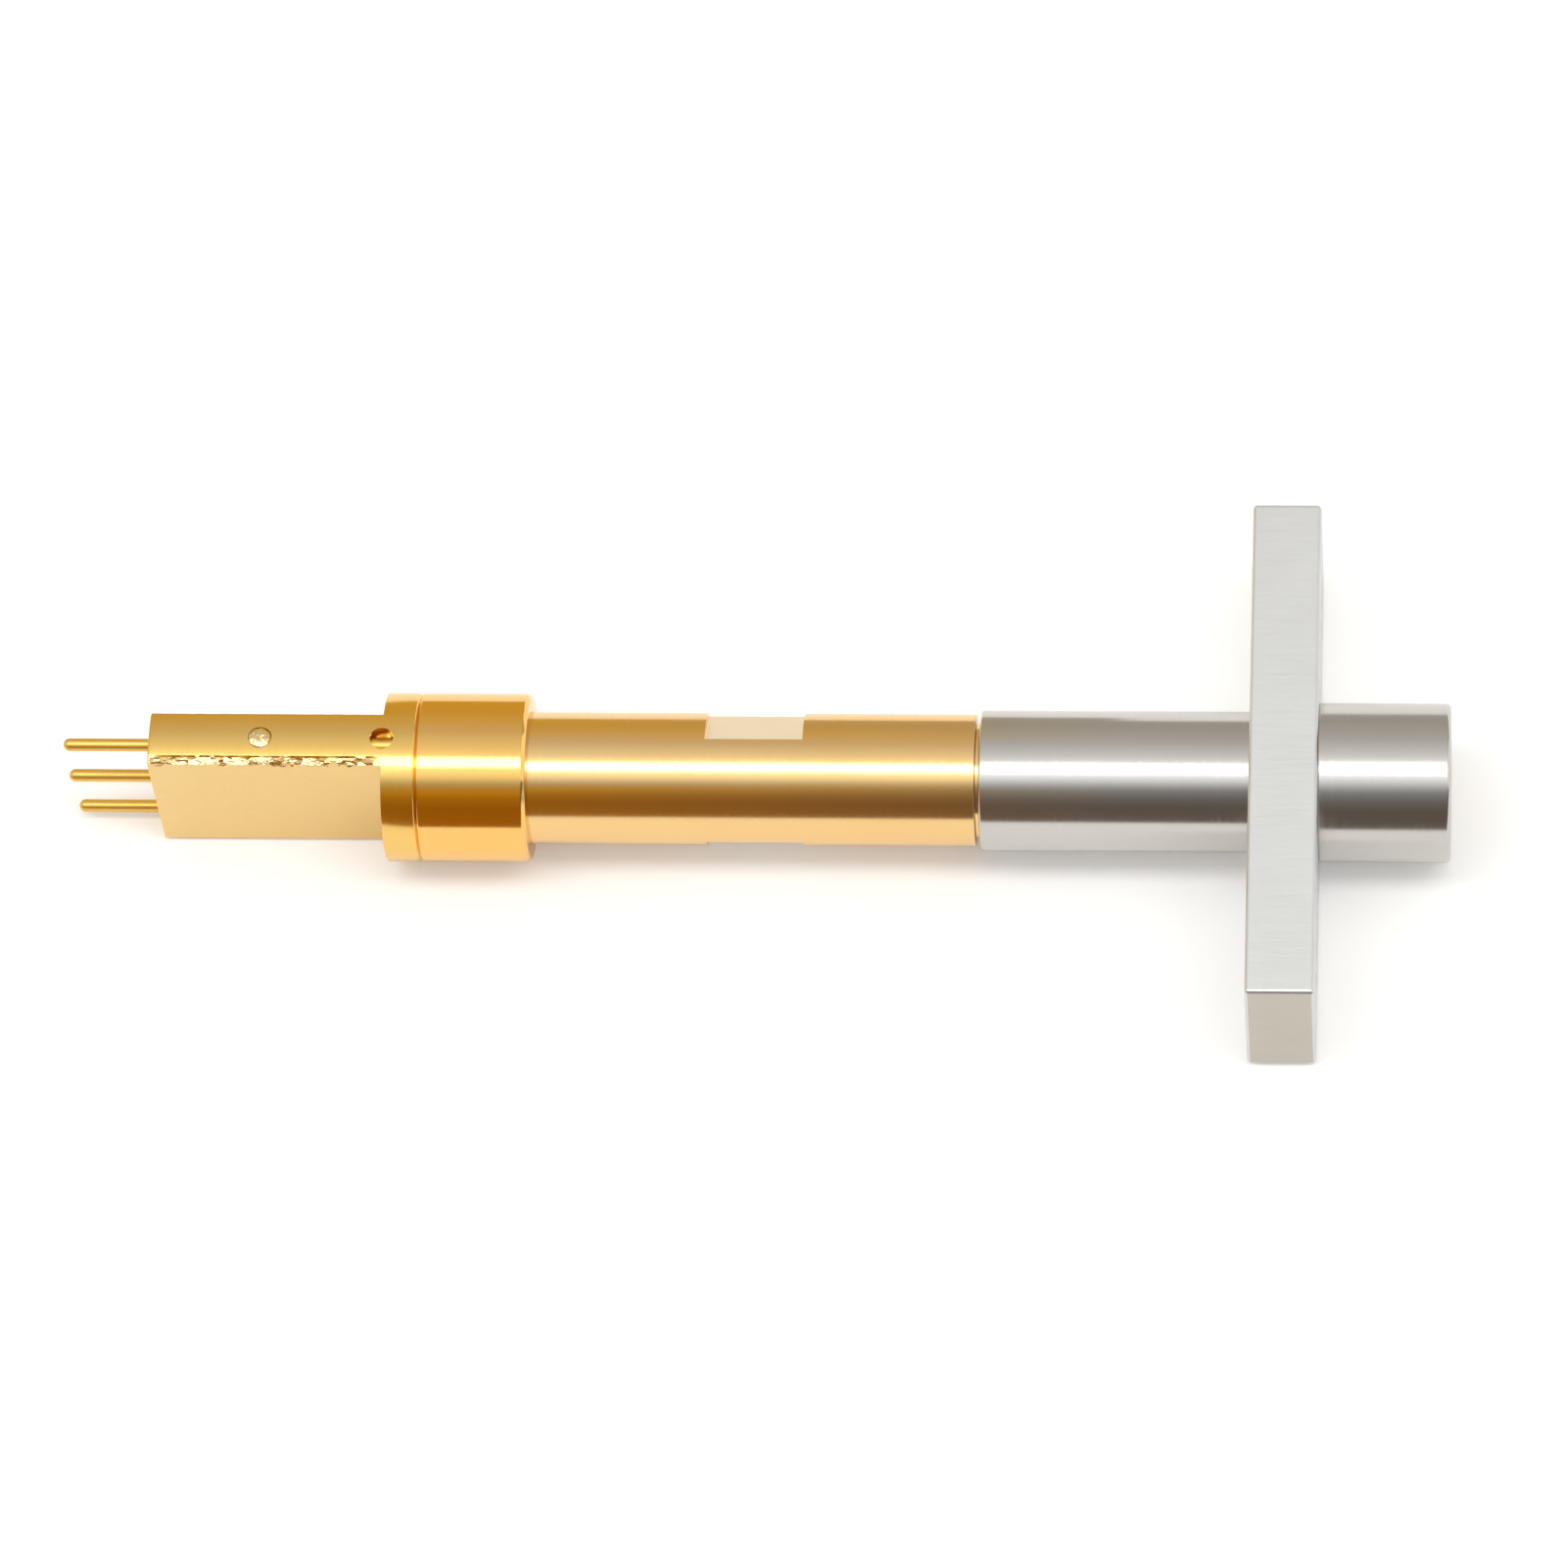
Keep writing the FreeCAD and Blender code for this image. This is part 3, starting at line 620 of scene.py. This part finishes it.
# Straight barrel with a pair of wrench flats, and a thin neck that goes into the steel sleeve.
# The flats' ends rise by endRise over endLength, as the cutter's corner leaves them.
barrel = {
    "neckRadius": 2.20, "bore": 1.75, "shoulder": -10.47, "edge": 0.04,
    "flatFront": -20.82, "flatRear": -17.07, "flatOffset": 2.07, "flatTurn": 45.0,
    "endRise": 0.02, "endLength": 0.03,
}


def makeBarrel():
    front, rear, radius = span("front_barrel")
    turn = math.radians(barrel["flatTurn"])
    half = math.acos(barrel["flatOffset"] / radius)
    exact = [turn + side * half + back for side in (1, -1) for back in (0, math.pi)]
    angles = roundAngles(fineSegments, exact)
    rings = softened([
        (front, barrel["bore"]), (front, radius), (barrel["shoulder"], radius),
        (barrel["shoulder"], barrel["neckRadius"]), (rear, barrel["neckRadius"]),
        (rear, barrel["bore"]),
    ], barrel["edge"])

    # the flats go in behind the last ring of the rounded front edge
    flatFront, flatRear, slope = barrel["flatFront"], barrel["flatRear"], barrel["endLength"]
    flat = flattened(angles, radius, barrel["flatOffset"], turn)
    flatEnd = flattened(angles, radius, barrel["flatOffset"] + barrel["endRise"], turn)
    before = max(index for index, (station, reach) in enumerate(rings)
                 if station < flatFront and reach > radius - tolerance)
    rings[before + 1:before + 1] = [
        (flatFront, radius), (flatFront, flatEnd), (flatFront + slope, flat),
        (flatRear - slope, flat), (flatRear, flatEnd), (flatRear, radius),
    ]
    piece = pieceFromRings("frontBarrel", rings, angles)
    tidy(piece)
    for material in (goldPlate, goldWrenchFlat):
        piece.data.materials.append(material)
    facing = Vector((0, math.sin(turn), math.cos(turn)))
    squareOn = math.cos(math.radians(2))
    for face in piece.data.polygons:
        onFlat = flatFront < face.center.x / mm < flatRear
        face.material_index = int(onFlat and abs(face.normal.dot(facing)) > squareOn)
    finish(piece, None, "housing", ["front_barrel"], crisp=30)


# Polished steel tube: it holds the barrel's neck, and its own neck goes through the flange.
sleeve = {
    "neckRadius": 2.49, "bore": 1.75, "seatRadius": 2.21, "seatDepth": 2.50, "shoulder": 0.40,
    "frontRound": 0.06, "edge": 0.03,
}


def makeSleeve():
    front, rear, radius = span("steel_sleeve")
    seat = front + sleeve["seatDepth"]
    rounding = sleeve["frontRound"]
    profile = [
        (rear, sleeve["bore"]), (rear, sleeve["neckRadius"]), (sleeve["shoulder"], sleeve["neckRadius"]),
        (sleeve["shoulder"], radius), (front + rounding, radius), (front, radius - rounding),
        (front, sleeve["seatRadius"]), (seat, sleeve["seatRadius"]), (seat, sleeve["bore"]),
    ]
    piece = turnedPiece("steelSleeve", softened(profile, sleeve["edge"]), fineSegments)
    finish(piece, steelPolished, "housing", ["steel_sleeve"])


# Short steel tail with a lead-in to its socket.
tail = {
    "socket": 1.85, "leadIn": 0.25, "sleeveSeat": 2.50, "seatDepth": 2.90, "frontRound": 0.04,
    "rearRound": 0.12, "edge": 0.05,
}


def makeTail():
    front, rear, radius = span("rear_shell")
    step = front + tail["seatDepth"]
    frontRound, rearRound = tail["frontRound"], tail["rearRound"]
    profile = [
        (rear, tail["socket"] + tail["leadIn"]), (rear, radius - rearRound),
        (rear - rearRound, radius), (front + frontRound, radius), (front, radius - frontRound),
        (front, tail["sleeveSeat"]), (step, tail["sleeveSeat"]), (step, tail["socket"]),
        (rear - tail["leadIn"], tail["socket"]),
    ]
    piece = turnedPiece("rearShell", softened(profile, tail["edge"]), fineSegments)
    finish(piece, steelPolished, "housing", ["rear_shell"])


makeRing()
makeBarrel()
makeSleeve()
makeTail()
print("ring, barrel, sleeve and tail made")


# Flange: a blasted plate with softened edges, a stepped hole for the sleeve and two screw
# holes. Its two narrow ends get a darker, warmer colour, which is painted shade.
flange = {
    "edge": 0.17, "neckHole": 2.50, "seatHole": 2.71, "seatDepth": 0.40,
    "screwHole": 1.10, "screwOffset": 7.50, "screwChamfer": 0.15,
}


def makeFlange():
    front, rear, reach = span("flange_plate")
    low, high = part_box("flange_plate")
    piece = boxPiece("flangePlate", low, high, flange["edge"])
    carve(piece, holeCutter(front - overrun, rear + overrun, flange["neckHole"]))
    carve(piece, holeCutter(front - overrun, front + flange["seatDepth"], flange["seatHole"]))
    for side in (1, -1):
        place = (side * flange["screwOffset"], 0)
        carve(piece, holeCutter(front - tolerance, rear + tolerance, flange["screwHole"], place,
                                flare=flange["screwChamfer"]))
    # the narrow ends take the darker colour of painted shade
    for material in (steelBlasted, steelEndsPaintedShade):
        piece.data.materials.append(material)
    for face in piece.data.polygons:
        atEnd = abs(face.center.y / mm) > reach - flange["edge"]
        face.material_index = int(atEnd and abs(face.normal.y) > mostly)
    finish(piece, None, "housing", ["flange_plate"], crisp=40)


makeFlange()
print("flange made")


# Spring contacts: a tube with a rolled-in lip, a plunger with a round tip and a coil spring.
contact = {
    "radius": 0.34, "bore": 0.285, "end": 0.30, "lip": 0.26, "lipLength": 0.30, "edge": 0.04,
    "shaft": 0.25, "piston": 0.275, "pistonLength": 6.90, "pistonEdge": 0.02, "tipSteps": 10,
    "springRadius": 0.21, "wire": 0.04, "turns": 8, "turnSteps": 24, "wireSides": 8,
    "travel": 2.65, "segments": 48,
}
# the name that a contact's pieces start with, the one that its nodes start with, and its height
contactRow = (
    ("upperGround", "upper_ground", head["pitch"]),
    ("signal", "signal", 0.0),
    ("lowerGround", "lower_ground", -head["pitch"]),
)


def makeContactTube(name, node, height):
    front, rear, _ = span(node)
    inside = contact["bore"]
    floor = rear - contact["end"]
    profile = [
        (rear, 0), (rear, contact["radius"]), (front, contact["radius"]), (front, contact["lip"]),
        (front + contact["lipLength"], contact["lip"]), (front + contact["lipLength"], inside),
        (floor, inside), (floor, 0),
    ]
    piece = turnedPiece(name, softened(profile, contact["edge"]), contact["segments"], (0, height))
    finish(piece, goldContact, "housing", [node])


def makePlunger(name, node, height):
    front, rear, _ = span(node)
    shoulder = rear - contact["pistonLength"]
    shaft = contact["shaft"]
    profile = [(front, 0)]
    for step in range(1, contact["tipSteps"] + 1):
        turn = math.pi / 2 * step / contact["tipSteps"]
        profile.append((front + shaft - shaft * math.cos(turn), shaft * math.sin(turn)))
    profile += [(shoulder, shaft), (shoulder, contact["piston"]), (rear, contact["piston"]), (rear, 0)]
    piece = turnedPiece(name, softened(profile, contact["pistonEdge"]), contact["segments"], (0, height))
    finish(piece, goldContact, node, [node])


def makeSpring(name, node, height):
    front, rear, _ = span(node)
    wire, sides = contact["wire"], contact["wireSides"]
    total = contact["turns"] * contact["turnSteps"]
    length = rear - front - 2 * wire
    points, faces = [], []
    for step in range(total + 1):
        turn = 2 * math.pi * step / contact["turnSteps"]
        for side in range(sides):
            lean = 2 * math.pi * side / sides
            reach = contact["springRadius"] + wire * math.cos(lean)
            station = front + wire + length * step / total + wire * math.sin(lean)
            points.append(Vector((station, reach * math.sin(turn), height + reach * math.cos(turn))) * mm)
    for step in range(total):
        for side in range(sides):
            here, beside = step * sides + side, step * sides + (side + 1) % sides
            faces.append((here, beside, beside + sides, here + sides))
    faces.append(tuple(range(sides)))
    faces.append(tuple(range(total * sides, (total + 1) * sides)))
    piece = pieceFromPoints(name, points, faces)
    tidy(piece)
    finish(piece, springSteel, "housing", [node])
    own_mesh(piece)


for name, node, height in contactRow:
    makeContactTube(name + "Tube", node + "_barrel", height)
    makePlunger(name + "Plunger", node + "_plunger", height)
    makeSpring(name + "Spring", node + "_spring", height)
print("spring contacts made")


# Solder frozen in the head's cross holes: the upper blob stands a little proud. Its dome leans
# along the row of contacts and is lumpy.
solder = {"radius": 0.445, "dome": 0.13, "domeSteps": 6, "lumps": 0.04, "lean": 0.10,
          "segments": 40, "seed": 11}


def makeSolder(name, node, side):
    low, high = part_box(node)
    middle = (low.x + high.x) / 2
    bottom, top = (low.z / mm, high.z / mm) if side > 0 else (-high.z / mm, -low.z / mm)
    radius = solder["radius"]
    shoulder = top - solder["dome"]
    profile = [(bottom, 0), (bottom, radius), (shoulder, radius)]
    for step in range(1, solder["domeSteps"]):
        turn = math.pi / 2 * step / solder["domeSteps"]
        profile.append((shoulder + solder["dome"] * math.sin(turn), radius * math.cos(turn)))
    profile.append((top, 0))
    piece = turnedPiece(name, profile, solder["segments"])
    chance = random.Random(solder["seed"])
    for vertex in piece.data.vertices:
        if vertex.co.x > shoulder * mm:
            lifted = vertex.co.x + solder["lean"] / 2 * vertex.co.z / radius
            vertex.co.x = min(lifted, top * mm) - solder["lumps"] * mm * chance.random()
    outwards = Matrix.Rotation(math.radians(-90 * side), 4, "Y")
    piece.data.transform(Matrix.Translation((middle, 0, 0)) @ outwards)
    finish(piece, solderTin, "housing", [node])


makeSolder("solderUpper", "solder_plug_upper", 1)
makeSolder("solderLower", "solder_plug_lower", -1)


# White bush round the middle contact, and white insulator in the socket.
insulators = {"bushBore": 0.35, "rearBore": 0.645, "edge": 0.03}


def makeInsulator(name, node, bore):
    front, rear, radius = span(node)
    profile = [(front, bore), (front, radius), (rear, radius), (rear, bore)]
    piece = turnedPiece(name, softened(profile, insulators["edge"]))
    finish(piece, whitePolymer, "housing", [node])


# Socket contact: a stem in front, and behind it a tube that two crossing slots cut into four
# springy fingers.
rearContact = {
    "bore": 0.47, "boreDepth": 2.00, "stem": 0.44, "stemLength": 1.60, "slotWidth": 0.15,
    "slotLength": 1.40, "slotReach": 2.0, "edge": 0.03, "segments": 72,
}


def makeRearContact():
    front, rear, radius = span("rear_contact")
    stemEnd = front + rearContact["stemLength"]
    floor = rear - rearContact["boreDepth"]
    profile = [
        (front, 0), (front, rearContact["stem"]), (stemEnd, rearContact["stem"]),
        (stemEnd, radius), (rear, radius), (rear, rearContact["bore"]),
        (floor, rearContact["bore"]), (floor, 0),
    ]
    piece = turnedPiece("rearContact", softened(profile, rearContact["edge"]), rearContact["segments"])
    half, reach = rearContact["slotWidth"] / 2, rearContact["slotReach"]
    for across, upwards in ((reach, half), (half, reach)):
        low = Vector((rear - rearContact["slotLength"], -across, -upwards)) * mm
        high = Vector((rear + overrun, across, upwards)) * mm
        carve(piece, boxPiece("cutter", low, high))
    finish(piece, goldContact, "housing", ["rear_contact"], crisp=40)


makeInsulator("signalBush", "signal_bush", insulators["bushBore"])
makeInsulator("rearInsulator", "rear_insulator", insulators["rearBore"])
makeRearContact()

# hidden pieces keep their solids and only get their finish
hiddenPieces = {"centre_conductor": goldPlate, "bead_front": whitePolymer, "bead_rear": whitePolymer}
for node, material in hiddenPieces.items():
    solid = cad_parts[node]
    solid.data.materials.clear()
    solid.data.materials.append(material)
print("solder and inserts made")


# The studio: a white table, a soft box overhead, and a tent of grey paper whose lower front is
# dark, where the camera stands. The tent is what the polished metal mirrors. The table
# glows a little where the camera or a mirror looks at it, so that it is white there. Lengths
# are in metres and the lamp's power in watts.
studio = {
    "floorSize": 3.0, "floorColour": "#F2F1EF", "floorGlow": 0.22, "mirroredGlow": 0.13,
    "lampHeight": 0.50, "lampForward": 0.063, "lampWidth": 0.12, "lampLength": 0.80,
    "lampPower": 1.15, "tentRadius": 1.0, "tentLength": 1.5, "tentSteps": 48,
    "tentStrength": 1.25, "endColour": "#F4F2EE",
}
# angle in degrees from straight up, towards +Y, with the paper's colour there
tentShades = (
    (-90, "#685B52"), (-82, "#655950"), (-68, "#62574E"), (-55, "#6D6865"), (-42, "#878787"),
    (-35, "#B0B1B1"), (-28, "#E0E2E2"), (-20, "#FFFFFF"), (-6, "#FFFFFF"), (4, "#EEECE9"),
    (14, "#DCDAD6"), (24, "#CFCECA"), (39, "#BCB7B2"), (55, "#B4ADA5"), (73, "#AAA398"),
)
# Two cards close to the probe, in front of it and behind its gold end, which only mirrors can
# see. They glow with the tent's shades and light nothing, so all they add is painted reflection
# in the metal. Beside the gold they are amber, a painted amber reflection that deepens the gold's
# dark bands: each card's tint says how many times as much red, green and blue they have there.
# The amber fades to the rear, from amberPlace to greyPlace, and upwards from fadeHeight. Lengths
# and places are in metres.
cards = {"height": 0.045, "start": -0.30, "amberPlace": -0.032, "greyPlace": -0.006}
frontReflectionCard = {
    "name": "frontReflectionCard", "across": -0.031, "end": 0.30, "fadeHeight": 0.028,
    "paintedReflectionTint": (2.0, 1.22, 0.09, 1.0),
}
rearReflectionCard = {
    "name": "rearReflectionCard", "across": 0.031, "end": -0.006, "fadeHeight": 0.004,
    "paintedReflectionTint": (1.25, 0.98, 0.24, 1.0),
}
white = (1, 1, 1, 1)


def makeFloor():
    material, tree = newMaterial("whiteTable")
    path = addNode(tree, "ShaderNodeLightPath")
    seen = addNode(tree, "ShaderNodeMath", {"operation": "MULTIPLY", 1: studio["floorGlow"]},
                   {0: path.outputs["Is Camera Ray"]})
    glow = addNode(tree, "ShaderNodeMath", {"operation": "MULTIPLY_ADD", 1: studio["mirroredGlow"]},
                   {0: path.outputs["Is Glossy Ray"], 2: seen.outputs[0]})
    paper = addNode(tree, "ShaderNodeBsdfDiffuse", {"Color": toLinear(studio["floorColour"])})
    light = addNode(tree, "ShaderNodeEmission", {"Color": white}, {"Strength": glow.outputs[0]})
    both = addNode(tree, "ShaderNodeAddShader", {}, {0: paper.outputs[0], 1: light.outputs[0]})
    addNode(tree, "ShaderNodeOutputMaterial", {}, {"Surface": both.outputs[0]})
    half = studio["floorSize"] / 2
    height = cadBox[0].z
    corners = [(-half, -half, height), (half, -half, height), (half, half, height), (-half, half, height)]
    floor = pieceFromPoints("tableTop", corners, [(0, 1, 2, 3)])
    floor.data.materials.append(material)


# the tent's shade at each place round the X axis
def paperShade(tree, parts):
    angle = addNode(tree, "ShaderNodeMath", {"operation": "ARCTAN2"},
                    {0: parts.outputs["Y"], 1: parts.outputs["Z"]})
    share = addNode(tree, "ShaderNodeMapRange", {"From Min": -math.pi / 2, "From Max": math.pi / 2},
                    {"Value": angle.outputs[0]})
    ramp = addNode(tree, "ShaderNodeValToRGB", {}, {"Fac": share.outputs["Result"]})
    stops = ramp.color_ramp.elements
    while len(stops) < len(tentShades):
        stops.new(1.0)
    # places before colours, because stops swap their order while they are placed
    for stop, (degrees, _) in zip(stops, tentShades):
        stop.position = (degrees + 90) / 180
    for stop, (_, shade) in zip(stops, tentShades):
        stop.color = toLinear(shade)
    return ramp.outputs["Color"]


def makeTent():
    material, tree = newMaterial("tentPaper")
    place = addNode(tree, "ShaderNodeTexCoord").outputs["Object"]
    parts = addNode(tree, "ShaderNodeSeparateXYZ", {}, {"Vector": place})
    light = addNode(tree, "ShaderNodeEmission", {"Strength": studio["tentStrength"]},
                    {"Color": paperShade(tree, parts)})
    addNode(tree, "ShaderNodeOutputMaterial", {}, {"Surface": light.outputs[0]})
    endMaterial, tree = newMaterial("tentEndPaper")
    light = addNode(tree, "ShaderNodeEmission",
                    {"Color": toLinear(studio["endColour"]), "Strength": studio["tentStrength"]})
    addNode(tree, "ShaderNodeOutputMaterial", {}, {"Surface": light.outputs[0]})
    radius, steps = studio["tentRadius"], studio["tentSteps"]
    points, faces = [], []
    for end in (-studio["tentLength"], studio["tentLength"]):
        for step in range(steps + 1):
            turn = math.pi * step / steps - math.pi / 2
            points.append((end, radius * math.sin(turn), radius * math.cos(turn)))
    for step in range(steps):
        faces.append((step, step + 1, step + steps + 2, step + steps + 1))
    faces.append(tuple(range(steps + 1)))
    faces.append(tuple(range(steps + 1, 2 * steps + 2)))
    tent = pieceFromPoints("studioTent", points, faces)
    tent.data.materials.append(material)
    tent.data.materials.append(endMaterial)
    for face in list(tent.data.polygons)[-2:]:
        face.material_index = 1
    tent.visible_camera = False


def makeCard(card):
    bottom = cadBox[0].z
    top = bottom + cards["height"]
    material, tree = newMaterial(card["name"])
    place = addNode(tree, "ShaderNodeTexCoord").outputs["Object"]
    parts = addNode(tree, "ShaderNodeSeparateXYZ", {}, {"Vector": place})
    along = addNode(tree, "ShaderNodeMapRange",
                    {"From Min": cards["amberPlace"], "From Max": cards["greyPlace"]},
                    {"Value": parts.outputs["X"]})
    upwards = addNode(tree, "ShaderNodeMapRange", {"From Min": card["fadeHeight"], "From Max": top},
                      {"Value": parts.outputs["Z"]})
    fade = addNode(tree, "ShaderNodeMath", {"operation": "MAXIMUM"},
                   {0: along.outputs["Result"], 1: upwards.outputs["Result"]})
    # the amber tint is painted reflection: the sheet is seen only in mirrors
    paintedReflectionTint = addNode(tree, "ShaderNodeMix", {"data_type": "RGBA", 6: card["paintedReflectionTint"], 7: white},
                     {0: fade.outputs[0]})
    colour = addNode(tree, "ShaderNodeMix", {"data_type": "RGBA", "blend_type": "MULTIPLY", 0: 1.0},
                     {6: paperShade(tree, parts), 7: paintedReflectionTint.outputs[2]})
    light = addNode(tree, "ShaderNodeEmission", {"Strength": studio["tentStrength"]},
                    {"Color": colour.outputs[2]})
    addNode(tree, "ShaderNodeOutputMaterial", {}, {"Surface": light.outputs[0]})
    start, end, across = cards["start"], card["end"], card["across"]
    corners = [(start, across, bottom), (end, across, bottom), (end, across, top), (start, across, top)]
    sheet = pieceFromPoints(card["name"], corners, [(0, 1, 2, 3)])
    sheet.data.materials.append(material)
    sheet.visible_camera = False
    sheet.visible_diffuse = False
    sheet.visible_shadow = False


def makeLights():
    lamp = bpy.data.lights.new("softBox", "AREA")
    lamp.shape = "RECTANGLE"
    lamp.size = studio["lampLength"]
    lamp.size_y = studio["lampWidth"]
    lamp.energy = studio["lampPower"]
    softBox = bpy.data.objects.new("softBox", lamp)
    softBox.location = (0, -studio["lampForward"], studio["lampHeight"])
    softBox.visible_camera = False
    scene.collection.objects.link(softBox)
    world = bpy.data.worlds.new("whiteRoom")
    world.use_nodes = True
    world.node_tree.nodes["Background"].inputs["Color"].default_value = white
    scene.world = world


makeFloor()
makeTent()
makeCard(frontReflectionCard)
makeCard(rearReflectionCard)
makeLights()
print("studio made")


# Long lens, far off: nearly straight down over the table's front, a little behind the flange.
# Places are in millimetres, roll is in degrees.
view = {
    "place": (9.6, -177.1, 341.2), "target": (-17.9, -0.2, 0.0), "roll": 0.34,
    "lens": 230.2, "sensor": 36.0,
}


def makeCamera():
    camera = bpy.data.cameras.new("camera")
    camera.lens = view["lens"]
    camera.sensor_width = view["sensor"]
    place, target = Vector(view["place"]), Vector(view["target"])
    ahead = (target - place).normalized()
    right = Vector((1, 0, 0)) - ahead * ahead.x
    right.normalize()
    upwards = right.cross(ahead)
    roll = math.radians(view["roll"])
    rolledRight = right * math.cos(roll) + upwards * math.sin(roll)
    rolledUp = upwards * math.cos(roll) - right * math.sin(roll)
    turn = Matrix((rolledRight, rolledUp, -ahead)).transposed().to_4x4()
    cameraObject = bpy.data.objects.new("camera", camera)
    cameraObject.matrix_world = Matrix.Translation(place * mm) @ turn
    scene.collection.objects.link(cameraObject)
    scene.camera = cameraObject


makeCamera()
print("camera set")
